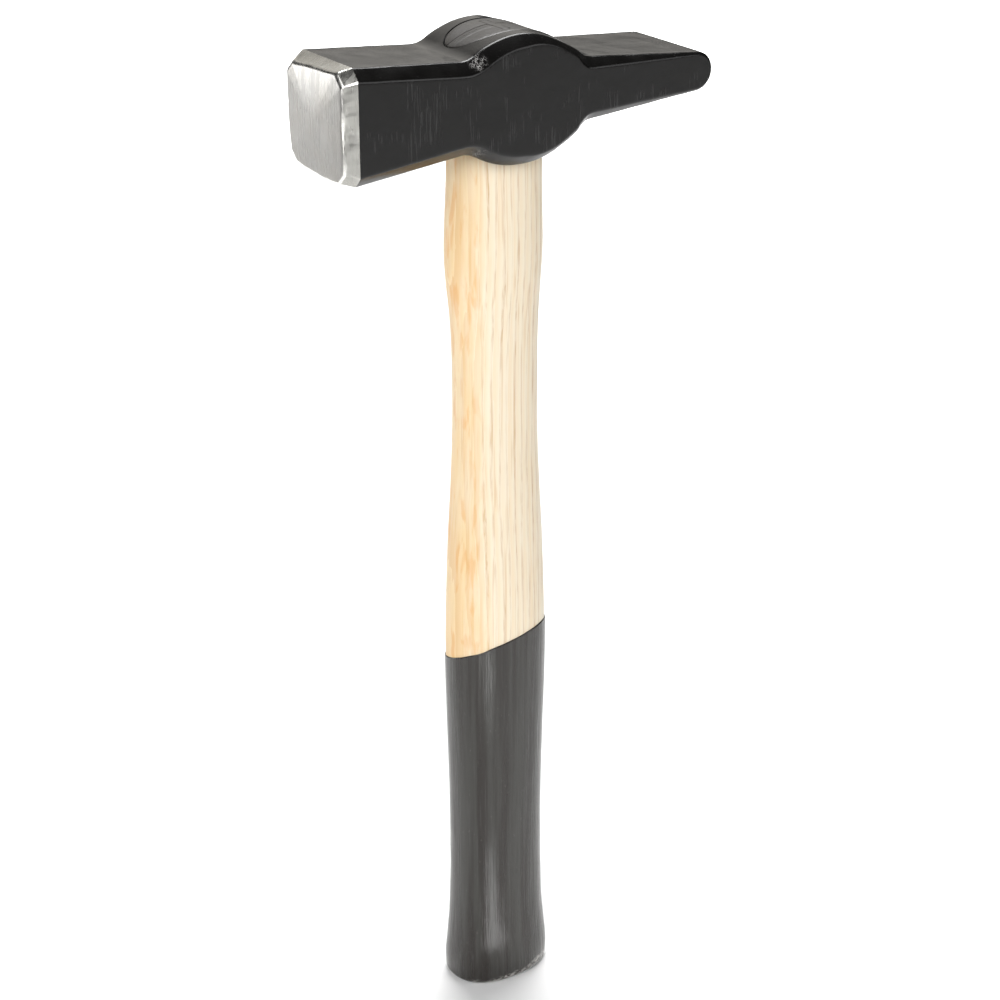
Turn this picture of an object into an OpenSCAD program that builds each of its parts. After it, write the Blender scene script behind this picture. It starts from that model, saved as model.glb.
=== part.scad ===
// Cross peen hammer: a forged steel head on an oval ash handle, with a dipped grip.
// Millimetres. Z runs up the handle from its butt. X runs from the striking face (-X) to the
// pein (+X). The hammer is the same on both sides of the XZ plane.

/* [Head] */
// Width of the head across its two flat sides
head_w = 35; // [33:0.5:38]
// Height of the striking block at its ground face
block_h = 35; // [33:0.5:37]
// Height of the striking block where its flats meet the cheeks
block_root_h = 28; // [25:0.2:29]
// Distance from the eye's centre to the edge of the ground face
block_x = 58; // [52:1:64]
// Height of the head over its domed cheeks
cheek_h = 39.8; // [38:0.2:42]
// Radius of the domed cheeks
cheek_r = 31.4; // [30:0.2:33]
// Radius of the hollows beside the cheeks
hollow_r = 9; // [6:0.5:11]
// Height of the pein where it meets the cheeks
pein_root_h = 20.2; // [18:0.2:22]
// Distance from the eye's centre to the pein's edge
pein_x = 70.6; // [66:0.2:76]
// Radius of the pein's rounded edge
pein_r = 6.2; // [5:0.1:7]
// Chamfer along the edges of the block
edge_c = 3.5; // [2:0.1:3.8]
// Chamfer that is left on the cheek's shoulder beside the pein
edge_shoulder_c = 1.8; // [1:0.1:3]
// Chamfer at the pein's root
edge_root_c = 3.1; // [2:0.1:3.6]
// Chamfer that is left at the pein's edge
edge_tip_c = 0.8; // [0.4:0.1:1.5]

/* [Ground face] */
// Depth of the ground bevel round the striking face
bevel_out = 4.6; // [3:0.1:6]
// How far the bevel runs in from each flat
bevel_in = 1.9; // [1:0.1:4]
// Chamfer at the corners of the face inside the bevel
face_corner_c = 3.2; // [1:0.1:5]
// How far the middle of the face stands proud of its bevel
crown = 0.7; // [0.2:0.1:1.5]

/* [Eye] */
// Half length and half width of the eye at its middle
eye_mid = [14.8, 8.6]; // [8:0.1:16]
// Half length and half width at the top, where the wedges spread the wood
eye_top = [16.5, 9.4]; // [8:0.1:17]
// Half length and half width at the bottom
eye_bottom = [15.4, 9]; // [8:0.1:16]
// Room for the wood all round
eye_gap = 0.05; // [0.02:0.01:0.1]

/* [Handle] */
// Height of the eye's centre above the butt
head_z = 315.5; // [300:0.5:330]
// Half width of the handle as a share of its half depth
handle_ratio = 0.725; // [0.65:0.005:0.8]
// Squareness of the oval section, where 2 is an ellipse
oval_n = 2.3; // [2:0.05:2.8]
// Rounding of the butt's edge
butt_r = 2.2; // [1:0.1:3]

/* [Grip coating] */
// Thickness of the dipped coating
coat_t = 0.35; // [0.2:0.05:0.6]
// Height of the dip line on the handle's axis
dip_h = 130.4; // [90:0.2:150]
// Rise of the dip line along X and along Y
dip_slope = [0.2, -0.32]; // [-0.5:0.01:0.5]

/* [Wedges] */
// Thickness of the wooden wedge at the top and at its toe
wood_wedge_t = [3.4, 0.8]; // [0.6:0.1:4]
// Depth of the wooden wedge below the eye's centre
wood_wedge_z = 8; // [2:0.5:12]
// Thickness of the steel wedge at the top and at its toe
steel_wedge_t = [2.6, 0.6]; // [0.4:0.1:3]
// Width of the steel wedge
steel_wedge_w = 13; // [10:0.5:14]
// Depth of the steel wedge below the eye's centre
steel_wedge_z = 2; // [0:0.5:6]

/* [Hidden] */

// Steps round an oval section, and degrees for each step along an arc of the head's outline
oval_steps = 48;
arc_step = 4;

// Stations up the handle: height, half depth, and how far the section sits off the axis in X
STATIONS = [
    [0, 18.3, 0.1],
    [7, 18.6, 0.2],
    [16, 17.8, 0.2],
    [28, 16.9, 0.1],
    [44, 16.5, 0.1],
    [60, 16.4, 0],
    [78, 16.6, 0],
    [98, 17.1, 0],
    [118, 17.6, 0],
    [134, 17.7, 0],
    [150, 17.3, 0],
    [168, 16.6, 0],
    [186, 15.6, 0],
    [202, 14.9, 0],
    [218, 14.7, 0],
    [234, 14.8, -0.1],
    [246, 15.3, -0.3],
    [256, 16.1, -0.5],
    [266, 16.6, -0.5],
    [276, 16.4, -0.4],
    [288, 16, -0.2],
    [306, 15.8, 0],
];

// --- Side outline of the head, with the eye's centre at the origin ---

cheek_drop = cheek_r - cheek_h / 2;
cheek_c = [0, -cheek_drop];
block_root_x = -sqrt(pow(cheek_r, 2) - pow(block_root_h / 2 + cheek_drop, 2));
pein_root_x = sqrt(pow(cheek_r, 2) - pow(pein_root_h / 2 + cheek_drop, 2));
nose_c = [pein_x - pein_r, 0];

function unit(a) = [cos(a), sin(a)];

// The direction that each flat of the outline faces
block_facing = 90 - atan2(block_h / 2 - block_root_h / 2, block_root_x + block_x);
pein_root = [pein_root_x, pein_root_h / 2];
nose_to_root = pein_root - nose_c;
pein_facing = atan2(nose_to_root[1], nose_to_root[0]) - acos(pein_r / norm(nose_to_root));

// A hollow touches a flat and a cheek. Its angle is where it meets the cheek.
function hollow_swing(facing, point) =
    acos(((point - cheek_c) * unit(facing) + hollow_r) / (cheek_r + hollow_r));
block_hollow_a = block_facing + hollow_swing(block_facing, [-block_x, block_h / 2]);
pein_hollow_a = pein_facing - hollow_swing(pein_facing, pein_root);

// Points along an arc, each as x, z and the direction that the surface faces there.
// A negative radius gives a hollow.
function arc(c, r, a0, a1) =
    let (n = ceil(abs(a1 - a0) / arc_step))
    [for (i = [0:n]) let (a = a0 + (a1 - a0) * i / n) [c[0] + r * cos(a), c[1] + r * sin(a), a]];

// Upper outline from the edge of the ground face, over the cheek, to the pein's edge
nose_end_a = 4;
outline = concat(
    [[-block_x, block_h / 2, block_facing]],
    arc(cheek_c + (cheek_r + hollow_r) * unit(block_hollow_a), -hollow_r, block_facing, block_hollow_a),
    arc(cheek_c, cheek_r, block_hollow_a - arc_step, pein_hollow_a + arc_step),
    arc(cheek_c + (cheek_r + hollow_r) * unit(pein_hollow_a), -hollow_r, pein_hollow_a, pein_facing),
    arc(nose_c, pein_r, pein_facing - arc_step, nose_end_a)
);

// The long chamfer narrows over the cheek, opens again at the pein's root and fades along the pein
shoulder_x = [12, 20];
chamfers = [
    [-block_x, edge_c],
    [0, edge_c],
    [shoulder_x[0], edge_shoulder_c],
    [shoulder_x[1], edge_shoulder_c],
    [pein_root_x + 1, edge_root_c],
    [nose_c[0], edge_tip_c],
];
function chamfer_at(x) = lookup(x, chamfers);

// --- Solids from rings of points ---

// Joins rings of equal length into a closed solid. Seen from the last ring, each ring turns clockwise.
module skin(rings) {
    n = len(rings[0]);
    m = len(rings);
    points = [for (ring = rings, p = ring) p];
    ends = [[for (i = [n - 1:-1:0]) i], [for (i = [0:n - 1]) (m - 1) * n + i]];
    sides = [for (j = [0:m - 2], i = [0:n - 1]) let (k = (i + 1) % n)
        [j * n + k, (j + 1) * n + k, (j + 1) * n + i, j * n + i]];
    polyhedron(points, concat(ends, sides), convexity = 6);
}

function signed_pow(v, e) = sign(v) * pow(abs(v), e);

// A point of the oval section at angle t, for half sizes a and b
function oval(a, b, t) = [a * signed_pow(cos(t), 2 / oval_n), b * signed_pow(sin(t), 2 / oval_n)];
function oval_angle(i) = -360 * i / oval_steps;

// --- Head ---

// Eight corners of the head's section: edge is the corner of the upper flat as x, y and z, and
// side is the corner of the side flat below it
function section_ring(edge, side) = [
    edge,
    side,
    [side[0], side[1], -side[2]],
    [edge[0], edge[1], -edge[2]],
    [edge[0], -edge[1], -edge[2]],
    [side[0], -side[1], -side[2]],
    [side[0], -side[1], side[2]],
    [edge[0], -edge[1], edge[2]],
];

function outline_ring(p) =
    let (c = chamfer_at(p[0]), n = unit(p[2]))
    section_ring([p[0], head_w / 2 - c, p[1]], [p[0] - c * n[0], head_w / 2, p[1] - c * n[1]]);

// A ring of the crowned face: share is its size against the inner edge of the bevel
function face_ring(share) =
    let (
        x = -block_x - bevel_out - crown * (1 - pow(share, 2)),
        y = share * (head_w / 2 - bevel_in),
        z = share * (block_h / 2 - bevel_in),
        c = share * face_corner_c
    )
    section_ring([x, y - c, z], [x, y, z - c]);

module head_blank() {
    skin(concat(
        [for (share = [0.1, 0.4, 0.7, 1]) face_ring(share)],
        [for (p = outline) outline_ring(p)]
    ));
}

// The eye is an hourglass: z is measured from its centre, and gap is taken off all round
function eye_size(z) =
    let (ends = z > 0 ? eye_top : eye_bottom)
    eye_mid + (ends - eye_mid) * min(1.3, abs(z) / (cheek_h / 2));
function eye_ring(z, gap) =
    let (s = eye_size(z))
    [for (i = [0:oval_steps - 1]) let (p = oval(s[0] - gap, s[1] - gap, oval_angle(i))) [p[0], p[1], z]];

module eye(gap) {
    reach = cheek_h / 2 + 3;
    skin([for (z = [-reach, 0, reach]) eye_ring(z, gap)]);
}

module head() {
    color([0.17, 0.17, 0.17])
        translate([0, 0, head_z])
            difference() {
                head_blank();
                eye(0);
            }
}

// --- Handle ---

// Smooth curve through the stations: value number k at height z
function station_index(z, i = 0) =
    i >= len(STATIONS) - 2 || STATIONS[i + 1][0] > z ? i : station_index(z, i + 1);
function slope_at(i, k) =
    let (a = max(0, i - 1), b = min(len(STATIONS) - 1, i + 1))
    (STATIONS[b][k] - STATIONS[a][k]) / (STATIONS[b][0] - STATIONS[a][0]);
function along(z, k) =
    let (
        i = station_index(z),
        h = STATIONS[i + 1][0] - STATIONS[i][0],
        u = (z - STATIONS[i][0]) / h,
        v0 = STATIONS[i][k],
        v1 = STATIONS[i + 1][k],
        s0 = h * slope_at(i, k),
        s1 = h * slope_at(i + 1, k)
    )
    v0 + u * s0 + pow(u, 2) * (3 * (v1 - v0) - 2 * s0 - s1) + pow(u, 3) * (2 * (v0 - v1) + s0 + s1);

// How much the rounded butt takes off the section at height z above the very bottom
function butt_round(z) = z >= butt_r ? 0 : butt_r - sqrt(pow(butt_r, 2) - pow(butt_r - z, 2));

// A point on the handle's surface at height z and angle t, grown outwards by g
function handle_point(z, t, g) =
    let (a = along(z, 1) + g - butt_round(z), b = along(z, 1) * handle_ratio + g - butt_round(z), p = oval(a, b, t))
    [p[0] + along(z, 2), p[1], z];

// Height of the head's underside and top on the centre plane
function cheek_z(x) = sqrt(pow(cheek_r, 2) - pow(x, 2)) - cheek_drop;
function under_head(x) = head_z - cheek_z(x);
function over_head(x) = head_z + cheek_z(x);

coat_gap = 0.04;
wood_z0 = coat_t + coat_gap;
wood_grow = -coat_t - coat_gap;
shoulder_z = 290;
tenon_z0 = head_z - cheek_h / 2 + 5;

function handle_ring(z) = [for (i = [0:oval_steps - 1]) handle_point(z, oval_angle(i), wood_grow)];

// Where a full section, or the tenon's, meets the curve of the head's underside
function scribed(ring) = [for (p = ring) [p[0], p[1], under_head(p[0]) - eye_gap]];
function tenon_ring(z) = [for (p = eye_ring(z - head_z, eye_gap)) [p[0], p[1], z]];

// The tenon's top follows the cheek, in rings that close towards its middle
function tenon_top(share) =
    [for (p = eye_ring(cheek_h / 2, eye_gap)) [p[0] * share, p[1] * share, over_head(p[0] * share)]];

module handle_body() {
    butt = [for (z = [0, 0.5, 1.2, butt_r]) handle_ring(wood_z0 + z)];
    shaft = [for (z = [7:5.5:shoulder_z]) handle_ring(z)];
    top = handle_ring(shoulder_z + 4);
    skin(concat(
        butt,
        shaft,
        [scribed(top), scribed(tenon_ring(tenon_z0))],
        [for (z = [tenon_z0, head_z, head_z + 12]) tenon_ring(z)],
        [for (share = [1, 0.75, 0.5, 0.25, 0.05]) tenon_top(share)]
    ));
}

// Side view of a wedge, from its toe up past the head: t holds its thickness at the top and toe
module wedge_outline(t, toe_z) {
    grow = (t[0] - t[1]) / (cheek_h / 2 + toe_z);
    end = t[0] + 4 * grow;
    polygon([
        [-t[1] / 2, -toe_z],
        [t[1] / 2, -toe_z],
        [end / 2, cheek_h / 2 + 4],
        [-end / 2, cheek_h / 2 + 4],
    ]);
}

// The wooden wedge's saw cut runs the whole length of the tenon
module wood_wedge_prism() {
    translate([0, 0, head_z])
        rotate([90, 0, 90])
            translate([0, 0, -20])
                linear_extrude(height = 40)
                    wedge_outline(wood_wedge_t, wood_wedge_z);
}

module steel_wedge_prism() {
    translate([0, steel_wedge_w / 2, head_z])
        rotate([90, 0, 0])
            linear_extrude(height = steel_wedge_w)
                wedge_outline(steel_wedge_t, steel_wedge_z);
}

module handle() {
    color([0.93, 0.8, 0.6])
        difference() {
            handle_body();
            wood_wedge_prism();
            steel_wedge_prism();
        }
}

// --- Wedges, cut flush with the cheek ---

module below_cheek() {
    translate([0, 0, head_z - cheek_drop])
        rotate([90, 0, 0])
            cylinder(r = cheek_r, h = 40, center = true, $fn = 180);
}

module wooden_wedge() {
    color([0.8, 0.62, 0.4])
        difference() {
            intersection() {
                wood_wedge_prism();
                below_cheek();
                translate([0, 0, head_z])
                    eye(eye_gap);
            }
            steel_wedge_prism();
        }
}

module steel_wedge() {
    color([0.45, 0.45, 0.45])
        intersection() {
            steel_wedge_prism();
            below_cheek();
        }
}

// --- Grip coating: a cup round the lower handle whose rim is the slanted dip line ---

coat_rows = 24;

// Height of row j at angle t: rows lean more and more, up to the dip line
function coat_z(t, j) =
    let (p = oval(along(dip_h, 1), along(dip_h, 1) * handle_ratio, t), lean = dip_slope[0] * p[0] + dip_slope[1] * p[1])
    butt_r + (dip_h + lean - butt_r) * j / coat_rows;
function coat_ring(j, g) =
    [for (i = [0:oval_steps - 1]) let (t = oval_angle(i)) handle_point(coat_z(t, j), t, g)];
function butt_ring(z, g, lift) =
    [for (i = [0:oval_steps - 1]) let (p = handle_point(z, oval_angle(i), g)) [p[0], p[1], z + lift]];

module grip_coating() {
    inner = -coat_t;
    color([0.3, 0.3, 0.29])
        skin(concat(
            [for (z = [0, 0.5, 1.2]) butt_ring(z, 0, 0)],
            [for (j = [0:coat_rows]) coat_ring(j, 0)],
            [for (j = [coat_rows:-1:0]) coat_ring(j, inner)],
            [for (z = [1.2, 0.5, 0]) butt_ring(z, inner, coat_t)]
        ));
}

head();
handle();
wooden_wedge();
steel_wedge();
grip_coating();
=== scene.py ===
"""Cross peen hammer: the looks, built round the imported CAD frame.

Everything is in metres in the CAD's frame: Z up the handle from its butt, -X to the striking
face, +X to the pein. Shapes are worked out in millimetres; new_piece and cut scale them to metres.
"""
import math

import bpy
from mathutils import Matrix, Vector, noise


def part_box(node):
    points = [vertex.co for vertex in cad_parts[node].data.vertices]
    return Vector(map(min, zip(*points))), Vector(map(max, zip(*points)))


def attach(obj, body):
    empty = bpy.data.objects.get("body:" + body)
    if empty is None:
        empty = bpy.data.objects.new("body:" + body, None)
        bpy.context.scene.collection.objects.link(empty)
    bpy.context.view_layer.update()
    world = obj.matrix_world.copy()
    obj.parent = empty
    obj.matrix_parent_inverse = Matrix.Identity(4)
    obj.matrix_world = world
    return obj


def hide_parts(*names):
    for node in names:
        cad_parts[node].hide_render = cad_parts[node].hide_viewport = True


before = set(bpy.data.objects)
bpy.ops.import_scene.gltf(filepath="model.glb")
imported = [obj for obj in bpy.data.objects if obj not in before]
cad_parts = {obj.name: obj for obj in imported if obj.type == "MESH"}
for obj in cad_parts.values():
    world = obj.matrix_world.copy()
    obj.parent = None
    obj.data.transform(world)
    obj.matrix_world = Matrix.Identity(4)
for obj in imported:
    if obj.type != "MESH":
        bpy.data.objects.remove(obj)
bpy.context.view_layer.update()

MM = 0.001
head_low, head_high = [Vector(c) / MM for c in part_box("head")]

# --- Camera ---

LENS = 85
SENSOR = 36
CAMERA_YAW = math.radians(34.4)
CAMERA_PITCH = math.radians(24.2)
CAMERA_RANGE = 0.7687
CAMERA_TARGET = Vector((0.0012, -0.0012, 0.1797))


def direction(yaw, pitch):
    """Unit vector towards a viewer at that yaw left of the front and pitch above the horizon."""
    return Vector((-math.sin(yaw) * math.cos(pitch), -math.cos(yaw) * math.cos(pitch), math.sin(pitch)))


def aim(obj, place, target):
    """Puts obj at place with its -Z axis through target and its X axis level."""
    obj.location = place
    obj.rotation_euler = (Vector(target) - Vector(place)).to_track_quat("-Z", "Y").to_euler()


def make_camera():
    data = bpy.data.cameras.new("camera")
    data.lens = LENS
    data.sensor_width = SENSOR
    data.clip_start = 0.01
    camera = bpy.data.objects.new("camera", data)
    bpy.context.scene.collection.objects.link(camera)
    aim(camera, CAMERA_TARGET + direction(CAMERA_YAW, CAMERA_PITCH) * CAMERA_RANGE, CAMERA_TARGET)
    bpy.context.scene.camera = camera


make_camera()

# --- Meshes ---


def new_piece(name, points, faces, materials, replaced):
    """A piece that stands for a CAD node, from points in millimetres. Faces take the first material."""
    mesh = bpy.data.meshes.new(name)
    mesh.from_pydata([Vector(p) * MM for p in points], [], faces)
    mesh.validate()
    for m in materials:
        mesh.materials.append(m)
    mesh.polygons.foreach_set("use_smooth", [True] * len(mesh.polygons))
    obj = bpy.data.objects.new(name, mesh)
    bpy.context.scene.collection.objects.link(obj)
    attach(obj, "root")
    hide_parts(replaced)
    return obj


def skin_faces(rings, count, capped=True):
    """Quads between rings of count points that turn clockwise seen from the last ring, with end caps."""
    faces = []
    for j in range(rings - 1):
        for i in range(count):
            k = (i + 1) % count
            a = j * count
            faces.append((a + i, a + count + i, a + count + k, a + k))
    if capped:
        faces.append(list(range(count)))
        faces.append(list(range(rings * count - 1, (rings - 1) * count - 1, -1)))
    return faces


def lerp(a, b, t):
    return a + (b - a) * t


def smoothstep(a, b, v):
    t = min(1, max(0, (v - a) / (b - a)))
    return t * t * (3 - 2 * t)


def wobble(x, y, z, scale, size, seed=0.0):
    """Smooth noise of about +-size millimetres whose bumps are about scale millimetres long."""
    return size * noise.noise(Vector((x / scale + seed, y / scale - seed, z / scale + 2.7 * seed)))


def shade_by_angle(obj, degrees):
    """Smooth shading, broken at edges sharper than this."""
    obj.data.set_sharp_from_angle(angle=math.radians(degrees))


# --- Materials: a small helper for node trees ---


class Look:
    """A node material under construction. Coordinates are object space in millimetres."""

    def __init__(self, name):
        self.material = bpy.data.materials.new(name)
        self.material.use_nodes = True
        self.tree = self.material.node_tree
        self.shader = self.tree.nodes["Principled BSDF"]
        coords = self.node("ShaderNodeTexCoord")
        self.normal = coords.outputs["Normal"]
        self.mm = self.scaled(coords.outputs["Object"], (1000, 1000, 1000))

    def node(self, kind, **settings):
        n = self.tree.nodes.new(kind)
        for key, value in settings.items():
            setattr(n, key, value)
        return n

    def put(self, socket, value):
        """Links an output, or sets a constant."""
        if isinstance(value, bpy.types.NodeSocket):
            self.tree.links.new(value, socket)
        else:
            socket.default_value = value

    def set(self, **values):
        """Sets the shader's own sockets by name, with _ for a space."""
        for key, value in values.items():
            self.put(self.shader.inputs[key.replace("_", " ")], value)

    def scaled(self, vector, factors):
        n = self.node("ShaderNodeVectorMath", operation="MULTIPLY")
        self.put(n.inputs[0], vector)
        n.inputs[1].default_value = factors
        return n.outputs[0]

    def added(self, a, b):
        n = self.node("ShaderNodeVectorMath", operation="ADD")
        self.put(n.inputs[0], a)
        self.put(n.inputs[1], b)
        return n.outputs[0]

    def math(self, operation, a, b=0.0):
        n = self.node("ShaderNodeMath", operation=operation)
        self.put(n.inputs[0], a)
        self.put(n.inputs[1], b)
        return n.outputs[0]

    def axis(self, vector, name):
        n = self.node("ShaderNodeSeparateXYZ")
        self.put(n.inputs[0], vector)
        return n.outputs[name]

    def noise(self, sizes, detail=3.0, roughness=0.5, vector=None, distortion=0.0, colour=False):
        """Noise from 0 to 1 whose blobs are about sizes millimetres along x, y and z."""
        n = self.node("ShaderNodeTexNoise")
        source = self.mm if vector is None else vector
        self.put(n.inputs["Vector"], self.scaled(source, tuple(1 / s for s in sizes)))
        n.inputs["Scale"].default_value = 1
        n.inputs["Detail"].default_value = detail
        n.inputs["Roughness"].default_value = roughness
        n.inputs["Distortion"].default_value = distortion
        return n.outputs["Color" if colour else "Fac"]

    def step(self, value, low, high, to_low=0.0, to_high=1.0):
        """Smooth step of value from low to high."""
        n = self.node("ShaderNodeMapRange", interpolation_type="SMOOTHSTEP")
        self.put(n.inputs["Value"], value)
        n.inputs["From Min"].default_value = low
        n.inputs["From Max"].default_value = high
        n.inputs["To Min"].default_value = to_low
        n.inputs["To Max"].default_value = to_high
        return n.outputs["Result"]

    def mix(self, factor, a, b):
        n = self.node("ShaderNodeMix", data_type="RGBA")
        self.put(n.inputs["Factor"], factor)
        colour_sockets = [s for s in n.inputs if s.type == "RGBA"]
        self.put(colour_sockets[0], a)
        self.put(colour_sockets[1], b)
        return [s for s in n.outputs if s.type == "RGBA"][0]

    def bump(self, height, depth, below=None):
        """Bump of depth millimetres for a height from 0 to 1."""
        n = self.node("ShaderNodeBump")
        n.inputs["Distance"].default_value = depth * MM
        n.inputs["Strength"].default_value = 1
        self.put(n.inputs["Height"], height)
        if below is not None:
            self.put(n.inputs["Normal"], below)
        return n.outputs["Normal"]

    def near(self, centre, radius, fade):
        """1 within radius millimetres of a point, fading to 0."""
        n = self.node("ShaderNodeVectorMath", operation="DISTANCE")
        self.put(n.inputs[0], self.mm)
        n.inputs[1].default_value = centre
        return self.step(n.outputs["Value"], radius, radius + fade, 1, 0)


# --- Materials of the hammer ---

# The ground face ends and the lacquer starts at this distance from the eye's centre
BLOCK_X = 58
HEAD_HALF_WIDTH = (head_high.y - head_low.y) / 2
HEAD_Z = (head_low.z + head_high.z) / 2


def head_lacquer():
    """Black lacquer brushed over forged steel."""
    m = Look("head_lacquer")
    cloud = m.noise((9, 9, 9), 4)
    fine = m.noise((0.9, 0.9, 0.9), 2)
    side = m.step(m.math("ABSOLUTE", m.axis(m.normal, "Y")), 0.9, 0.98)
    streak = m.noise((0.55, 3, 9), 2, 0.4)
    patches = m.step(m.noise((7, 7, 10), 1), 0.5, 0.62)
    streaks = m.math("MULTIPLY", m.math("MULTIPLY", m.step(streak, 0.52, 0.66), patches), side)
    rough_spots = hatching(m)
    dust = m.step(m.noise((0.5, 0.5, 0.5), 1), 0.74, 0.8)
    colour = m.mix(cloud, (0.0015, 0.0014, 0.0013, 1), (0.004, 0.0036, 0.0033, 1))
    colour = m.mix(m.math("MULTIPLY", streaks, 0.35), colour, (0.05, 0.05, 0.05, 1))
    colour = m.mix(m.math("MULTIPLY", dust, 0.35), colour, (0.09, 0.088, 0.082, 1))
    colour = m.mix(rough_spots, colour, (0.33, 0.32, 0.31, 1))
    rough = m.step(cloud, 0.3, 0.7, 0.19, 0.27)
    rough = m.math("ADD", rough, m.math("MULTIPLY", streaks, 0.1))
    normal = m.bump(cloud, 0.10)
    normal = m.bump(fine, 0.018, normal)
    normal = m.bump(streaks, 0.02, normal)
    normal = m.bump(rough_spots, 0.12, normal)
    m.set(Base_Color=colour, Roughness=rough, Normal=normal, IOR=1.42)
    return m.material


HATCH_X = -16.5
HATCH_Z = 14


def hatching(m):
    """Crossed file marks where the front chamfer turns up into the cheek, above and below."""
    spots = None
    for side in (-1, 1):
        for up, strength in ((1, 1), (-1, 0.3)):
            centre = (HATCH_X, side * (HEAD_HALF_WIDTH - 1.6), HEAD_Z + up * HATCH_Z)
            near = m.math("MULTIPLY", m.near(centre, 1.1, 2.4), strength)
            spots = near if spots is None else m.math("MAXIMUM", spots, near)
    marks = None
    for lean in (1, -1):
        lines = m.node("ShaderNodeTexWave", wave_type="BANDS", bands_direction="X")
        m.put(lines.inputs["Vector"], turned(m, lean * 0.6))
        lines.inputs["Scale"].default_value = 0.56
        lines.inputs["Distortion"].default_value = 6
        lines.inputs["Detail"].default_value = 2
        band = m.step(lines.outputs["Fac"], 0.7, 0.9)
        marks = band if marks is None else m.math("MAXIMUM", marks, band)
    broken = m.step(m.noise((1.3, 1.3, 1.3), 2), 0.4, 0.6)
    return m.math("MULTIPLY", m.math("MULTIPLY", marks, spots), broken)


def turned(m, lean):
    """Object coordinates turned about Y."""
    n = m.node("ShaderNodeVectorRotate", rotation_type="Y_AXIS")
    m.put(n.inputs["Vector"], m.mm)
    n.inputs["Angle"].default_value = lean
    return n.outputs["Vector"]


def ground_steel():
    """Bare steel from a belt grinder, with fine upright lines, and painted highlights: a lighter colour on
    the bevel and a bright line along its inner edge.
    """
    m = Look("ground_steel")
    lines = m.noise((0.6, 0.16, 14), 3, 0.6)
    broad = m.noise((3, 1.2, 16), 2)
    cloud = m.noise((8, 8, 8), 3)
    colour = m.mix(lines, (0.29, 0.283, 0.27, 1), (0.37, 0.364, 0.35, 1))
    colour = m.mix(m.step(cloud, 0.35, 0.75, 0, 0.35), colour, (0.31, 0.29, 0.262, 1))
    facing = m.math("ABSOLUTE", m.axis(m.normal, "X"))
    # Painted highlight: the bevel, found by its normal, gets a lighter colour in place of the light it
    # catches.
    bevel_painted_highlight_colour = m.mix(lines, (0.36, 0.355, 0.33, 1), (0.46, 0.455, 0.43, 1))
    colour = m.mix(m.step(facing, 0.5, 0.8), bevel_painted_highlight_colour, colour)
    # Painted highlight: a near-white line on the rounded inner edge of the bevel, where the edge would
    # catch the light, broken up by noise.
    painted_edge_highlight = m.math("MULTIPLY", m.step(facing, 0.5, 0.62), m.step(facing, 0.84, 0.95, 1, 0))
    colour = m.mix(m.math("MULTIPLY", painted_edge_highlight, m.step(cloud, 0.35, 0.6)), colour, (0.85, 0.84, 0.80, 1))
    rough = m.math("ADD", m.step(broad, 0.3, 0.7, 0.2, 0.3), m.math("MULTIPLY", lines, 0.06))
    normal = m.bump(lines, 0.008)
    normal = m.bump(cloud, 0.05, normal)
    m.set(Base_Color=colour, Metallic=1.0, Roughness=rough, Normal=normal)
    return m.material


# The tree's pith lies this far off the handle's axis
PITH = Vector((74, -16, 0))
RING_WIDTH = 2.6


def growth_rings(m):
    """Distance into the current year's growth, from 0 to 1, and the whole radius in rings."""
    wander = m.noise((45, 45, 210), 2, colour=True)
    drift = m.node("ShaderNodeVectorMath", operation="SUBTRACT")
    m.put(drift.inputs[0], wander)
    drift.inputs[1].default_value = (0.5, 0.5, 0.5)
    place = m.added(m.mm, m.scaled(drift.outputs[0], (7, 7, 0)))
    fine = m.noise((3, 3, 34), 3, colour=True)
    place = m.added(place, m.scaled(fine, (2.2, 2.2, 0)))
    x = m.math("SUBTRACT", m.axis(place, "X"), PITH.x)
    y = m.math("SUBTRACT", m.axis(place, "Y"), PITH.y)
    radius = m.math("SQRT", m.math("ADD", m.math("MULTIPLY", x, x), m.math("MULTIPLY", y, y)))
    rings = m.math("DIVIDE", radius, RING_WIDTH)
    return m.math("FRACT", rings), rings


def wood_grain(m, pale, late, early, line):
    """Colour, bump height and year of ash: pale wood, warmer late wood and porous early lines."""
    year, rings = growth_rings(m)
    late_part = m.step(year, 0.35, 0.95)
    pores_part = m.math("MULTIPLY", m.step(year, 0.0, 0.12), m.step(year, 0.22, 0.42, 1, 0))
    pores = m.step(m.noise((0.28, 0.28, 7), 2), 0.42, 0.62)
    fibre = m.noise((0.5, 0.5, 26), 3)
    years = m.node("ShaderNodeTexNoise", noise_dimensions="1D")
    m.put(years.inputs["W"], m.math("FLOOR", rings))
    years.inputs["Scale"].default_value = 0.77
    strength = m.step(years.outputs["Fac"], 0.35, 0.65, 0.35, 1.0)
    colour = m.mix(m.math("MULTIPLY", late_part, m.math("MULTIPLY", strength, 0.85)), pale, late)
    dark = m.math("MULTIPLY", pores_part, strength)
    broken = m.step(m.noise((4, 4, 22), 2), 0.35, 0.6, 0.35, 1)
    dark = m.math("MULTIPLY", m.math("MULTIPLY", dark, broken), m.step(pores, 0, 1, 0.4, 1))
    colour = m.mix(dark, colour, early)
    streak = m.step(m.noise((0.9, 0.9, 45), 2), 0.54, 0.7, 0, 0.5)
    colour = m.mix(streak, colour, line)
    height = m.math("SUBTRACT", m.math("MULTIPLY", fibre, 0.5), m.math("MULTIPLY", pores_part, pores))
    return colour, height, year


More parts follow.
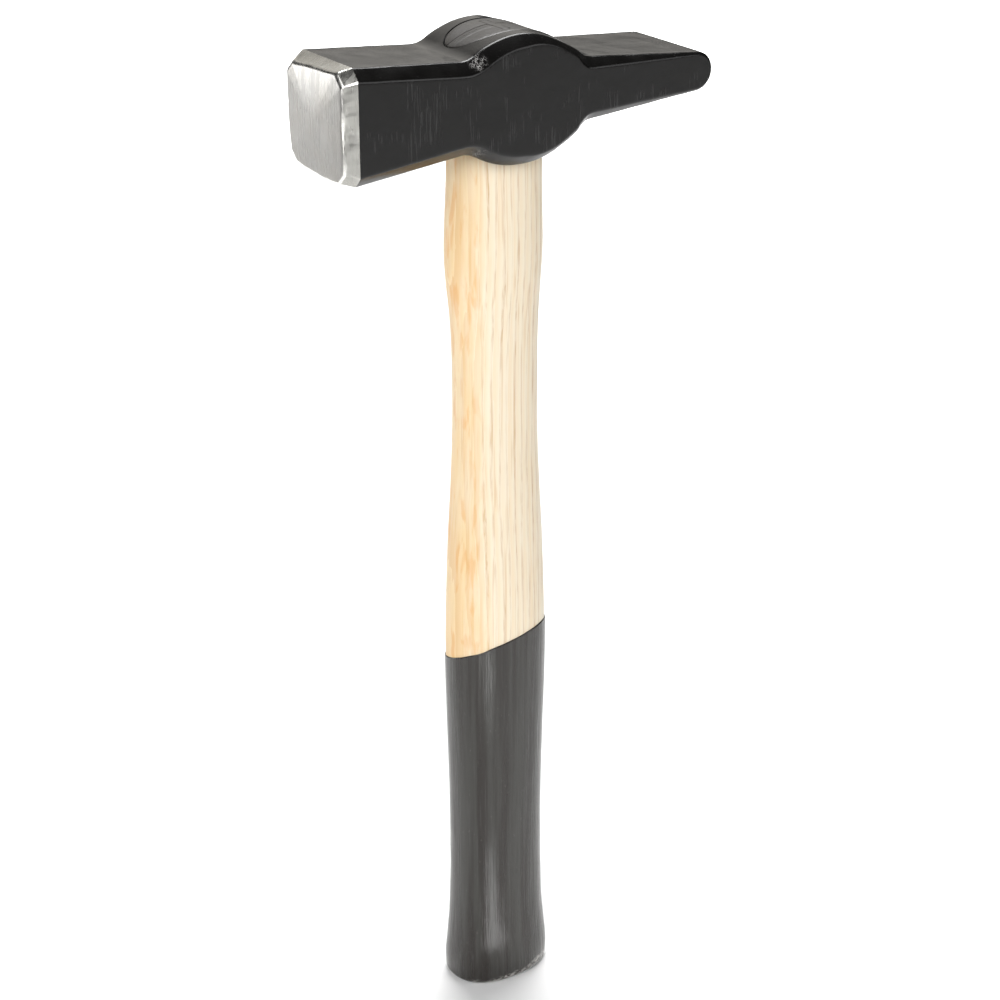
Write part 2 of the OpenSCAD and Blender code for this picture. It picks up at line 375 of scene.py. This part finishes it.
def ash_wood():
    """Planed ash with a thin clear finish, warmer along the edge that faces the block."""
    m = Look("ash_wood")
    colour, height, year = wood_grain(
        m,
        pale=(0.79, 0.70, 0.55, 1),
        late=(0.76, 0.62, 0.43, 1),
        early=(0.56, 0.38, 0.21, 1),
        line=(0.61, 0.42, 0.23, 1),
    )
    blotch = m.noise((5, 5, 30), 3)
    streaks = m.noise((1.4, 1.4, 50), 2)
    edge = m.math("ADD", m.axis(m.mm, "X"), m.math("MULTIPLY", blotch, 9))
    edge = m.math("ADD", edge, m.math("MULTIPLY", streaks, 9))
    warm = m.step(edge, -9, 2, 0.8, 0)
    warm_colour = m.mix(m.step(year, 0, 1, 0, 0.7), (0.78, 0.57, 0.29, 1), (0.64, 0.37, 0.13, 1))
    colour = m.mix(warm, colour, warm_colour)
    fleck = m.step(m.noise((2.6, 2.6, 13), 3, distortion=0.3), 0.53, 0.66, 0, 0.7)
    colour = m.mix(m.math("MULTIPLY", fleck, warm), colour, (0.68, 0.34, 0.10, 1))
    rough = m.step(m.noise((3, 3, 12), 2), 0.3, 0.7, 0.38, 0.5)
    m.set(Base_Color=colour, Roughness=rough, Normal=m.bump(height, 0.03), Subsurface_Weight=0.06)
    m.set(Subsurface_Radius=(0.004, 0.002, 0.001), Subsurface_Scale=0.5)
    return m.material


def grip_lacquer():
    """Dark dipped lacquer, thin enough for the grain to show as upright ridges."""
    m = Look("grip_lacquer")
    year, _ = growth_rings(m)
    ridge = m.math("MULTIPLY", m.step(year, 0.0, 0.2), m.step(year, 0.3, 0.9, 1, 0))
    streak = m.noise((0.6, 0.6, 26), 3, 0.55)
    long_streak = m.noise((3.2, 3.2, 120), 2)
    speck = m.step(m.noise((0.6, 0.6, 1.6), 1), 0.72, 0.8)
    colour = m.mix(m.step(long_streak, 0.35, 0.65), (0.018, 0.0145, 0.012, 1), (0.034, 0.033, 0.029, 1))
    colour = m.mix(m.math("MULTIPLY", m.step(streak, 0.5, 0.75), 0.25), colour, (0.06, 0.058, 0.056, 1))
    colour = m.mix(m.math("MULTIPLY", speck, 0.2), colour, (0.14, 0.14, 0.13, 1))
    height = m.math("ADD", m.axis(m.mm, "Z"), m.math("MULTIPLY", m.noise((5, 5, 5), 2), 4))
    height = m.math("SUBTRACT", height, m.math("MULTIPLY", m.axis(m.mm, "X"), 0.13))
    low_edge = m.step(height, 3.9, 5.6, 1, 0)
    scuff = m.math("MULTIPLY", low_edge, m.step(m.noise((1.6, 1.6, 0.8), 3, 0.65), 0.42, 0.56))
    colour = m.mix(scuff, colour, (0.3, 0.29, 0.27, 1))
    rough = m.step(streak, 0.3, 0.7, 0.13, 0.27)
    normal = m.bump(long_streak, 0.12)
    normal = m.bump(streak, 0.11, normal)
    normal = m.bump(ridge, 0.02, normal)
    m.set(Base_Color=colour, Roughness=rough, Normal=normal, IOR=1.5)
    return m.material


def end_lacquer(name, grain):
    """Head lacquer over end grain, or over the end of a wedge."""
    m = Look(name)
    cells = m.noise(grain, 3, 0.6)
    cloud = m.noise((4, 4, 4), 2)
    colour = m.mix(m.step(cells, 0.35, 0.7), (0.016, 0.0145, 0.013, 1), (0.034, 0.031, 0.028, 1))
    rough = m.step(cloud, 0.3, 0.7, 0.32, 0.45)
    m.set(Base_Color=colour, Roughness=rough, Normal=m.bump(cells, 0.06), IOR=1.46)
    return m.material


def wedge_wood():
    """The hidden sides of the wooden wedge."""
    m = Look("wedge_wood")
    fibre = m.noise((0.5, 3, 12), 3)
    colour = m.mix(fibre, (0.42, 0.26, 0.13, 1), (0.62, 0.43, 0.24, 1))
    m.set(Base_Color=colour, Roughness=0.6, Normal=m.bump(fibre, 0.05))
    return m.material


def wedge_steel():
    """The hidden sides of the steel wedge."""
    m = Look("wedge_steel")
    lines = m.noise((0.4, 4, 0.4), 3)
    colour = m.mix(lines, (0.24, 0.23, 0.22, 1), (0.42, 0.41, 0.4, 1))
    m.set(Base_Color=colour, Metallic=1.0, Roughness=0.45, Normal=m.bump(lines, 0.02))
    return m.material


# --- Head ---

BLOCK_H = 35
BLOCK_ROOT_H = 28
CHEEK_H = head_high.z - head_low.z
CHEEK_R = 31.4
HOLLOW_R = 9
PEIN_ROOT_H = 20.2
PEIN_R = 6.2
PEIN_X = 70.6
BEVEL_OUT = 4.6
BEVEL_IN = 1.9
FACE_CORNER_C = 3.2
CROWN = 0.9

cheek_drop = CHEEK_R - CHEEK_H / 2
cheek_centre = Vector((0, -cheek_drop))
pein_root = Vector((math.sqrt(CHEEK_R**2 - (PEIN_ROOT_H / 2 + cheek_drop) ** 2), PEIN_ROOT_H / 2))
nose_centre = Vector((PEIN_X - PEIN_R, 0))


def unit(angle):
    return Vector((math.cos(angle), math.sin(angle)))


def cheek_height(x):
    """Height of the cheek above the eye's centre."""
    return math.sqrt(CHEEK_R**2 - x * x) - cheek_drop


def arc(centre, radius, start, stop, step=math.radians(1.5)):
    """Points x, z and facing angle along an arc; a negative radius makes a hollow."""
    count = max(2, math.ceil(abs(stop - start) / step))
    angles = [lerp(start, stop, i / count) for i in range(count + 1)]
    return [(centre.x + radius * math.cos(a), centre.y + radius * math.sin(a), a) for a in angles]


def straight(a, b, step=1.2):
    """Points between two outline points that face the same way, without its ends."""
    count = math.ceil(math.hypot(b[0] - a[0], b[1] - a[1]) / step)
    return [(lerp(a[0], b[0], i / count), lerp(a[1], b[1], i / count), a[2]) for i in range(1, count)]


def head_outline():
    """Upper side outline from the edge of the ground face to the pein's edge."""
    root_x = -math.sqrt(CHEEK_R**2 - (BLOCK_ROOT_H / 2 + cheek_drop) ** 2)
    block_start = Vector((-BLOCK_X, BLOCK_H / 2))
    block_facing = math.pi / 2 - math.atan2((BLOCK_H - BLOCK_ROOT_H) / 2, root_x + BLOCK_X)
    to_root = pein_root - nose_centre
    pein_facing = math.atan2(to_root.y, to_root.x) - math.acos(PEIN_R / to_root.length)

    def swing(facing, point):
        reach = (point - cheek_centre).dot(unit(facing)) + HOLLOW_R
        return math.acos(reach / (CHEEK_R + HOLLOW_R))

    block_turn = block_facing + swing(block_facing, block_start)
    pein_turn = pein_facing - swing(pein_facing, pein_root)
    out = CHEEK_R + HOLLOW_R
    first = (block_start.x, block_start.y, block_facing)
    hollow_1 = arc(cheek_centre + out * unit(block_turn), -HOLLOW_R, block_facing, block_turn)
    cheek = arc(cheek_centre, CHEEK_R, block_turn, pein_turn)
    hollow_2 = arc(cheek_centre + out * unit(pein_turn), -HOLLOW_R, pein_turn, pein_facing)
    nose = arc(nose_centre, PEIN_R, pein_facing, math.radians(3), math.radians(4))
    run = [first] + straight(first, hollow_1[0]) + hollow_1 + cheek[1:] + hollow_2[1:]
    return run + straight(hollow_2[-1], nose[0]) + nose


# Size of the long chamfer along X: it narrows on the cheek's shoulder and fades along the pein
CHAMFERS = [
    (-BLOCK_X, 3.5),
    (-24, 3.8),
    (0, 3.4),
    (12, 1.8),
    (20, 1.8),
    (pein_root.x + 1, 3.1),
    (nose_centre.x, 0.8),
    (PEIN_X, 0.8),
]


def chamfer_at(x):
    for (x0, c0), (x1, c1) in zip(CHAMFERS, CHAMFERS[1:]):
        if x <= x1:
            return lerp(c0, c1, max(0, (x - x0) / (x1 - x0)))
    return CHAMFERS[-1][1]


def rounded_corner(corner, before, after, radius, steps=4):
    """Points of a curve that replaces a corner; before and after are unit directions along the line."""
    a = corner - before * radius
    b = corner + after * radius
    points = []
    for i in range(steps + 1):
        t = i / steps
        points.append(a * (1 - t) ** 2 + corner * (2 * t * (1 - t)) + b * t * t)
    return points


FLAT_STEPS = 12
SIDE_STEPS = 44
EDGE_ROUND = 0.55


def quarter_section(half_width, c, limit):
    """From the middle of a flat to the start of the side, as (y, depth below the outline)."""
    r = min(EDGE_ROUND, c * 0.4, limit * 0.5)
    slope = Vector((1, -1)).normalized()
    upper = rounded_corner(Vector((half_width - c, 0)), Vector((1, 0)), slope, r)
    lower = rounded_corner(Vector((half_width, -c)), slope, Vector((0, -1)), r)
    flat = [Vector((upper[0].x * i / FLAT_STEPS, 0)) for i in range(FLAT_STEPS)]
    return flat + upper + lower


SHOULDER_WEAR = 0.8


def forged(p):
    """A point of the lacquered head with the slight unevenness of forging and hand grinding."""
    x, y, z = p
    fade = smoothstep(-BLOCK_X, -BLOCK_X + 4, x) * smoothstep(PEIN_X, PEIN_X - 4, x)
    dz = wobble(x, y, z, 16, 0.14, 3.1) + wobble(x, y, z, 6, 0.05, 8.2)
    dy = wobble(x, y, z, 22, 0.10, 5.7)
    worn = SHOULDER_WEAR * math.exp(-(((x - 14) / 7) ** 2)) * smoothstep(8, 15, abs(y))
    lower = min(abs(dz) * fade + worn * smoothstep(4, 9, abs(z)), 0.3 * abs(z))
    return (x, y - abs(dy) * fade * math.copysign(1, y), z - lower * math.copysign(1, z))


def mirrored_ring(quarter):
    """A whole ring from its upper +Y quarter: top middle to the start of the side."""
    last = quarter[-1]
    side = [(last[0], last[1], lerp(last[2], -last[2], i / SIDE_STEPS)) for i in range(1, SIDE_STEPS)]
    half = quarter + side + [(x, y, -z) for x, y, z in reversed(quarter)]
    return half + [(x, -y, z) for x, y, z in reversed(half[1:-1])]


def outline_ring(point):
    x, z, a = point
    n = unit(a)
    section = quarter_section(HEAD_HALF_WIDTH, chamfer_at(x), abs(z))
    return mirrored_ring([(x + s.y * n.x, s.x, z + s.y * n.y) for s in section])


def hand_ground(p):
    """Moves a point of the face's inner edge to where an uneven hand left it."""
    y = p.y + 0.4
    z = p.z + lerp(0.3, -0.9, smoothstep(-6, 15, y)) * smoothstep(0, 15, p.z)
    z -= 0.5 * smoothstep(0, 15, -p.z)
    blunt = 1 - 0.085 * math.exp(-((y - 15) ** 2 + (z + 15) ** 2) / 45)
    run = 1 + (wobble(0, y, z, 6, 0.45, 1.3) + wobble(0, y, z, 2.2, 0.12, 6.1)) / 16
    return Vector((p.x, y * blunt * run, z * blunt * run))


def grinder_dab(y, z, v):
    """Depth in millimetres of the flats that the grinder left along the bevel."""
    turn = math.atan2(z, y) * 21
    cell = math.floor(turn / 3.4 + 0.6 * noise.noise(Vector((turn / 9, 0.5, 0))))
    tilt = noise.cell(Vector((cell + 0.5, 3.5, 7.5))) - 0.5
    return 0.08 * tilt * math.sin(math.pi * v) + 0.10 * wobble(0, y, z, 1.3, 1, 2.9) * v * (1 - v)


def bevel_rings(start):
    """Rings of the ground bevel and the crowned face, from the middle of the face outwards."""
    half_y = HEAD_HALF_WIDTH - BEVEL_IN
    half_z = BLOCK_H / 2 - BEVEL_IN
    x = -BLOCK_X - BEVEL_OUT
    section = quarter_section(half_y, FACE_CORNER_C, half_z)
    inner = [hand_ground(Vector(p)) for p in mirrored_ring([(x, s.x, half_z + s.y) for s in section])]
    ground = [(Vector(a), edge) for a, edge in zip(start, inner)]

    def face(edge, share):
        bulge = CROWN * (1 - share * share)
        return Vector((x - bulge, edge.y * share, edge.z * share))

    shares = (0.04, 0.12, 0.25, 0.4, 0.55, 0.7, 0.82, 0.91)
    rings = [[face(edge, share) for _, edge in ground] for share in shares]
    turns = []
    for a, edge in ground:
        back = (a - edge) * 0.2
        ahead = face(edge, 0.95) - edge
        turns.append([edge + ahead * (1 - t) ** 2 + back * t * t for t in (0, 0.25, 0.5, 0.75, 1)])
    rings += [[t[i] for t in turns] for i in range(5)]
    for v in (0.74, 0.6, 0.45, 0.3, 0.15):
        ring = []
        for a, edge in ground:
            p = edge.lerp(a, 1 - v)
            out = Vector((-0.3, p.y, p.z)).normalized()
            ring.append(p - out * (0.05 + grinder_dab(p.y, p.z, v)))
        rings.append(ring)
    return rings


# The eye is an hourglass that the wedged tenon fills
EYE_MID = Vector((14.8, 8.6))
EYE_TOP = Vector((16.5, 9.4))
EYE_BOTTOM = Vector((15.4, 9.0))
EYE_FLARE = 0.5
CUT_CLEAR = 3
OVAL_N = 2.3
OVAL_STEPS = 128


def oval(a, b, t):
    c = math.cos(t)
    s = math.sin(t)
    return (
        a * math.copysign(abs(c) ** (2 / OVAL_N), c),
        b * math.copysign(abs(s) ** (2 / OVAL_N), s),
    )


def oval_angles():
    return [-2 * math.pi * i / OVAL_STEPS for i in range(OVAL_STEPS)]


def eye_size(z):
    ends = EYE_TOP if z > 0 else EYE_BOTTOM
    return EYE_MID + (ends - EYE_MID) * min(1.3, abs(z) / (CHEEK_H / 2))


def eye_ring(z, grow=0.0, scribed=None):
    """Oval of the eye at height z above its centre. scribed follows the cheek that far out."""
    size = eye_size(z)
    ring = []
    for t in oval_angles():
        x, y = oval(size.x + grow, size.y + grow, t)
        height = z if scribed is None else math.copysign(cheek_height(x) + scribed, z)
        ring.append((x, y, height))
    return ring


def apply_modifiers(obj):
    """Applies an object's modifiers to its mesh."""
    graph = bpy.context.evaluated_depsgraph_get()
    mesh = bpy.data.meshes.new_from_object(obj.evaluated_get(graph))
    obj.modifiers.clear()
    obj.data = mesh


def cut(obj, points, faces):
    """Cuts a solid, given in millimetres, out of obj."""
    mesh = bpy.data.meshes.new("cutter")
    mesh.from_pydata([Vector(p) * MM for p in points], [], faces)
    mesh.materials.append(obj.data.materials[0])
    cutter = bpy.data.objects.new("cutter", mesh)
    bpy.context.scene.collection.objects.link(cutter)
    modifier = obj.modifiers.new("cut", "BOOLEAN")
    modifier.operation = "DIFFERENCE"
    modifier.solver = "EXACT"
    modifier.object = cutter
    apply_modifiers(obj)
    bpy.data.objects.remove(cutter)


def lifted(points, dz):
    return [(x, y, z + dz) for x, y, z in points]


def make_head(lacquer, steel):
    rings = [outline_ring(p) for p in head_outline()]
    rings = [[forged(p) for p in ring] for ring in rings]
    face = bevel_rings(rings[0])
    count = len(rings[0])
    rings = face + rings
    points = lifted([p for ring in rings for p in ring], HEAD_Z)
    faces = skin_faces(len(rings), count)
    head = new_piece("head_forging", points, faces, [lacquer, steel], "head")
    ground_quads = len(face) * count
    for polygon in head.data.polygons:
        if polygon.index < ground_quads or polygon.center.x < -(BLOCK_X + BEVEL_OUT) * MM:
            polygon.material_index = 1
    clear = CHEEK_H / 2 + CUT_CLEAR
    lower = eye_ring(-CHEEK_H / 2, EYE_FLARE + 0.4, 1)
    upper = eye_ring(CHEEK_H / 2, EYE_FLARE + 0.4, 1)
    eye = [
        [(x, y, -clear) for x, y, _ in lower],
        lower,
        eye_ring(-CHEEK_H / 2, 0, -EYE_FLARE),
        eye_ring(0),
        eye_ring(CHEEK_H / 2, 0, -EYE_FLARE),
        upper,
        [(x, y, clear) for x, y, _ in upper],
    ]
    cut(head, lifted([p for ring in eye for p in ring], HEAD_Z), skin_faces(len(eye), OVAL_STEPS))
    shade_by_angle(head, 28)


# --- Handle ---

# Height, half depth and how far the section sits off the axis in X
STATIONS = [
    (0, 18.3, 0.1),
    (7, 18.6, 0.2),
    (16, 17.8, 0.2),
    (28, 16.9, 0.1),
    (44, 16.5, 0.1),
    (60, 16.4, 0),
    (78, 16.6, 0),
    (98, 17.1, 0),
    (118, 17.6, 0),
    (134, 17.7, 0),
    (150, 17.3, 0),
    (168, 16.6, 0),
    (186, 15.6, 0),
    (202, 14.9, 0),
    (218, 14.7, 0),
    (234, 14.8, -0.1),
    (246, 15.3, -0.3),
    (256, 16.1, -0.5),
    (266, 16.6, -0.5),
    (276, 16.4, -0.4),
    (288, 16, -0.2),
    (306, 15.8, 0),
]
HANDLE_RATIO = 0.725
BUTT_R = 2.2
COAT_T = 0.35
COAT_GAP = 0.04
DIP_H = 130.4
DIP_SLOPE = (0.2, -0.32)
SHOULDER_Z = 290
SHOULDER_GAP = 0.1
RING_STEP = 2


def along(z, k):
    """Smooth curve through the stations: value number k at height z."""
    i = 0
    while i < len(STATIONS) - 2 and STATIONS[i + 1][0] <= z:
        i += 1

    def slope(j):
        a = STATIONS[max(0, j - 1)]
        b = STATIONS[min(len(STATIONS) - 1, j + 1)]
        return (b[k] - a[k]) / (b[0] - a[0])

    h = STATIONS[i + 1][0] - STATIONS[i][0]
    u = (z - STATIONS[i][0]) / h
    v0, v1 = STATIONS[i][k], STATIONS[i + 1][k]
    s0, s1 = h * slope(i), h * slope(i + 1)
    return v0 + u * s0 + u * u * (3 * (v1 - v0) - 2 * s0 - s1) + u**3 * (2 * (v0 - v1) + s0 + s1)


def butt_round(z):
    return 0 if z >= BUTT_R else BUTT_R - math.sqrt(BUTT_R**2 - (BUTT_R - z) ** 2)


def handle_point(z, t, grow):
    a = along(z, 1)
    x, y = oval(a + grow - butt_round(z), a * HANDLE_RATIO + grow - butt_round(z), t)
    return (x + along(z, 2), y, z)


def handle_ring(z, grow):
    return [handle_point(z, t, grow) for t in oval_angles()]


TENON_GAP = 0.12
# The tenon's end, from its rim to its middle: share of the eye's size and depth below the cheek
TENON_END = [
    (1, 0.5),
    (0.99, 0.2),
    (0.97, 0.1),
    (0.85, 0.08),
    (0.7, 0.1),
    (0.5, 0.08),
    (0.3, 0.1),
    (0.1, 0.1),
]


def make_handle(wood, end):
    grow = -COAT_T - COAT_GAP
    butt_heights = [0, 0.2, 0.5, 0.9, 1.5, BUTT_R]
    rings = [handle_ring(z - grow, grow) for z in butt_heights]
    z = BUTT_R + RING_STEP
    while z < SHOULDER_Z:
        rings.append(handle_ring(z, grow))
        z += RING_STEP
    rings.append(handle_ring(SHOULDER_Z, grow))
    top = handle_ring(SHOULDER_Z + 4, grow)
    tenon = eye_ring(-CHEEK_H / 2 + 5, -TENON_GAP)
    scribe = [(x, y, HEAD_Z - cheek_height(x) - SHOULDER_GAP) for x, y, _ in top]
    rings.append([(x, y, z - 0.3) for x, y, z in scribe])
    rings.append([(x * 0.985, y * 0.985, z) for x, y, z in scribe])
    rings.append([(x, y, HEAD_Z - cheek_height(x) - SHOULDER_GAP) for x, y, _ in tenon])
    for z in (-CHEEK_H / 2 + 5, 0, 12):
        rings.append(lifted(eye_ring(z, -TENON_GAP), HEAD_Z))
    crown = eye_ring(CHEEK_H / 2, -TENON_GAP)
    for share, drop in TENON_END:
        rings.append([(x * share, y * share, HEAD_Z + cheek_height(x * share) - drop) for x, y, _ in crown])
    points = [p for ring in rings for p in ring]
    handle = new_piece(
        "handle_ash", points, skin_faces(len(rings), OVAL_STEPS), [wood, end], "handle"
    )
    cut(handle, *wedge_solid(WOOD_WEDGE, 0.1, along_x=True))
    cut(handle, *wedge_solid(STEEL_WEDGE, 0.1, along_x=False))
    for polygon in handle.data.polygons:
        if polygon.center.z > (HEAD_Z + 12) * MM:
            polygon.material_index = 1
    shade_by_angle(handle, 40)


# --- Wedges: thickness at the top and at the toe, length across, and depth below the eye's centre ---

WOOD_WEDGE = (3.4, 0.8, 40.0, 8.0)
STEEL_WEDGE = (2.6, 0.6, 13.0, 2.0)
WEDGE_THIN = 0.05
# Share of the wedge's height, and how far its outline has shrunk towards its rounded end
WEDGE_LEVELS = [
    (0, 0),
    (0.35, 0),
    (0.66, 0),
    (0.7, 0),
    (0.98, 0),
    (1, 0),
    (1, 0.08),
    (1, 0.2),
    (1, 0.6),
    (1, 1.1),
    (1, 1.64),
]


def wedge_solid(wedge, gap, along_x):
    """A plain tapered wedge in millimetres, for cutting its slot."""
    thick, toe, length, depth = wedge
    reach = CHEEK_H / 2 + CUT_CLEAR - 1
    grow = (thick - toe) / (CHEEK_H / 2 + depth)
    points = []
    for z, half in ((-depth - gap, toe / 2), (reach, toe / 2 + grow * (reach + depth) / 2)):
        for u, v in ((-1, -1), (-1, 1), (1, 1), (1, -1)):
            across = u * (length / 2 + gap)
            thin = v * (half + gap)
            points.append((across, thin, z + HEAD_Z) if along_x else (thin, -across, z + HEAD_Z))
    return points, skin_faces(2, 4)


def slab(half_long, half_thin, t):
    """A thin rectangle with rounded corners, whose points are spread along its long sides."""
    c = math.cos(t)
    return half_long * c, half_thin * math.copysign((1 - abs(c) ** 9) ** (1 / 9), math.sin(t))


def wedge_piece(name, wedge, along_x, body, end, replaced, proud):
    """A wedge whose end follows the cheek, in rings that round its upper edge."""
    thick, toe, length, depth = wedge
    slope = (thick - toe) / (CHEEK_H / 2 + depth)
    steps = 40
    rings = []
    for level, shrink in WEDGE_LEVELS:
        ring = []
        for i in range(steps):
            t = -2 * math.pi * i / steps
            z_mid = lerp(-depth, CHEEK_H / 2, level)
            half_long = min(length / 2, eye_size(z_mid).x - TENON_GAP - WEDGE_THIN)
            half_thin = toe / 2 + slope * (z_mid + depth) / 2
            across, thin = slab(half_long - shrink, max(WEDGE_THIN, half_thin - shrink), t)
            x, y = (across, thin) if along_x else (-thin, across)
            top = cheek_height(x) + proud - (0.12 if shrink == 0 else 0.04 if shrink < 0.1 else 0)
            ring.append((x, y, HEAD_Z + lerp(-depth, top, level)))
        rings.append(ring)
    points = [p for ring in rings for p in ring]
    piece = new_piece(name, points, skin_faces(len(rings), steps), [body, end], replaced)
    for polygon in piece.data.polygons:
        if polygon.center.z > (HEAD_Z + 10) * MM:
            polygon.material_index = 1
    shade_by_angle(piece, 50)
    return piece


def make_wedges(wood, steel, wood_end, steel_end):
    piece = wedge_piece(
        "wooden_wedge_ash", WOOD_WEDGE, True, wood, wood_end, "wooden_wedge", -0.14
    )
    cut(piece, *wedge_solid(STEEL_WEDGE, 0.08, along_x=False))
    shade_by_angle(piece, 50)
    wedge_piece(
        "steel_wedge_plate", STEEL_WEDGE, False, steel, steel_end, "steel_wedge", -0.05
    )


# --- Grip coating ---


def make_grip(lacquer):
    """The dipped film: a cup with a rounded rim along the slanted dip line."""
    rows = 90
    rim = 0.45

    def height(t, v):
        a = along(DIP_H, 1)
        x, y = oval(a, a * HANDLE_RATIO, t)
        top = DIP_H + DIP_SLOPE[0] * x + DIP_SLOPE[1] * y + wobble(x, y, 0, 6, 0.35, 4.4)
        return BUTT_R + (top - BUTT_R) * v

    def inner(t, v):
        return handle_point(height(t, v), t, -COAT_T)

    def outer(t, v):
        z = height(t, v)
        x, y, _ = handle_point(z, t, 0)
        sag = abs(wobble(x, y, z, 11, 0.1, 7.3)) + abs(wobble(x, y, z / 5, 3, 0.05, 2.2))
        to_rim = height(t, 1) - z
        if to_rim < rim:
            s = 1 - to_rim / rim
            sag += (COAT_T - 0.02) * (1 - math.sqrt(max(0, 1 - s * s)))
        return handle_point(z, t, -sag)

    def butt(z, grow, lift=0.0):
        return [(x, y, z + lift) for x, y, _ in (handle_point(z, t, grow) for t in oval_angles())]

    low = [0, 0.1, 0.25, 0.5, 0.8, 1.2, 1.7]
    shares = [j / rows for j in range(rows)]
    last_mm = [1 - d / DIP_H for d in (0.9, 0.5, 0.42, 0.33, 0.22, 0.12, 0.05, 0.01, 0)]
    shares = [v for v in shares if v < last_mm[0]] + last_mm
    rings = [[(x * s, y * s, 0) for x, y, _ in butt(0, 0)] for s in (0.3, 0.8)]
    rings += [butt(z, 0) for z in low]
    rings += [[outer(t, v) for t in oval_angles()] for v in shares]
    rings += [[inner(t, v) for t in oval_angles()] for v in (1, 0.9, 0.75, 0.6, 0.45, 0.3, 0.15, 0)]
    rings += [butt(z, -COAT_T, COAT_T) for z in (1.2, 0.5, 0)]
    points = [p for ring in rings for p in ring]
    grip = new_piece(
        "grip_film", points, skin_faces(len(rings), OVAL_STEPS), [lacquer], "grip_coating"
    )
    shade_by_angle(grip, 50)


# --- Studio ---

FLOOR_HALF = 6.0
FLOOR_GAP = 0.0002
FLOOR_WHITES = ((0.86, 0.86, 0.86, 1), (0.88, 0.88, 0.88, 1))


def floor_look():
    m = Look("floor")
    cloud = m.noise((60, 60, 60), 3)
    colour = m.mix(cloud, *FLOOR_WHITES)
    m.set(Base_Color=colour, Roughness=0.9, Specular_IOR_Level=0.1, Normal=m.bump(cloud, 0.1))
    return m.material


def make_floor():
    mesh = bpy.data.meshes.new("floor")
    corners = [(x * FLOOR_HALF, y * FLOOR_HALF, 0) for x, y in ((-1, -1), (1, -1), (1, 1), (-1, 1))]
    mesh.from_pydata(corners, [], [(0, 1, 2, 3)])
    mesh.materials.append(floor_look())
    floor = bpy.data.objects.new("floor", mesh)
    floor.location.z = -FLOOR_GAP
    bpy.context.scene.collection.objects.link(floor)


def make_backdrop():
    """A pale sweep beyond the floor, seen by the camera only, so the head still mirrors a dark room."""
    inner, outer, top = 1.05, 5.5, 5.0
    sides = 48
    rings = [(inner, 0.001), (outer, 0.001), (outer, top), (0.01, top)]
    points = []
    for radius, z in rings:
        for i in range(sides):
            turn = 2 * math.pi * i / sides
            points.append((radius * math.cos(turn), radius * math.sin(turn), z))
    mesh = bpy.data.meshes.new("backdrop")
    mesh.from_pydata(points, [], skin_faces(len(rings), sides, capped=False))
    m = Look("backdrop")
    cloud = m.noise((900, 900, 900), 2)
    m.set(Base_Color=m.mix(cloud, *FLOOR_WHITES), Roughness=0.9)
    m.set(Emission_Color=(1, 1, 1, 1), Emission_Strength=1.0)
    mesh.materials.append(m.material)
    backdrop = bpy.data.objects.new("backdrop", mesh)
    backdrop.visible_diffuse = False
    backdrop.visible_glossy = False
    backdrop.visible_transmission = False
    backdrop.visible_shadow = False
    bpy.context.scene.collection.objects.link(backdrop)


def softbox(name, place, size, radiance, target=(0, 0, 0.25), colour=(1, 1, 1)):
    """An area light of that width and height in metres, as bright as radiance times a white world."""
    data = bpy.data.lights.new(name, "AREA")
    data.shape = "RECTANGLE"
    data.size, data.size_y = size
    data.energy = radiance * math.pi * size[0] * size[1]
    data.color = colour
    light = bpy.data.objects.new(name, data)
    light.visible_camera = False
    bpy.context.scene.collection.objects.link(light)
    aim(light, place, target)
    return light


def around(yaw, pitch, distance):
    return Vector((0, 0, 0.25)) + direction(math.radians(yaw), math.radians(pitch)) * distance


def make_lights():
    world = bpy.data.worlds.new("studio")
    bpy.context.scene.world = world
    world.use_nodes = True
    background = world.node_tree.nodes["Background"]
    background.inputs["Color"].default_value = (1, 1, 1, 1)
    background.inputs["Strength"].default_value = 0.07
    softbox("key", around(50, 30, 1.6), (1.1, 1.1), 5.6)
    softbox("fill", around(-30, 20, 2), (1, 1.2), 2.0)
    softbox("back_card", around(210, 25, 2.6), (3.2, 1.5), 0.82, colour=(1, 0.96, 0.89))
    softbox("face_card", (-1.08, 1.48, 0.27), (1.0, 0.5), 4.0, (-0.06, 0, 0.3))
    softbox("edge_card", (-1.5, -0.5, 0.13), (0.35, 0.24), 5)
    softbox("bevel_card", (-0.25, -1.6, 0.2), (0.7, 0.36), 2.0, (0, 0, 0.3))
    softbox("floor_light", (0.62, 0.7, 1.9), (1.2, 1.2), 12, (0.62, 0.71, 0))
    strip_yaw = math.radians(15)
    foot = direction(strip_yaw, 0)
    for reach, length, radiance in ((0.06, 0.06, 3.2), (0.24, 0.1, 9)):
        place = foot * reach + Vector((0, 0, 0.006))
        strip = softbox("grip_strip", place, (0.022, length), radiance)
        strip.rotation_euler = (math.pi, 0, math.pi - strip_yaw)


scene = bpy.context.scene
scene.view_settings.view_transform = "Standard"
scene.view_settings.look = "None"
make_lights()
make_floor()
make_backdrop()

lacquer_look = head_lacquer()
make_head(lacquer_look, ground_steel())
end_look = end_lacquer("tenon_lacquer", (0.5, 0.5, 0.5))
make_handle(ash_wood(), end_look)
make_wedges(
    wedge_wood(),
    wedge_steel(),
    end_lacquer("wooden_wedge_lacquer", (0.3, 1.2, 0.6)),
    end_lacquer("steel_wedge_lacquer", (1.5, 1.5, 1.5)),
)
make_grip(grip_lacquer())
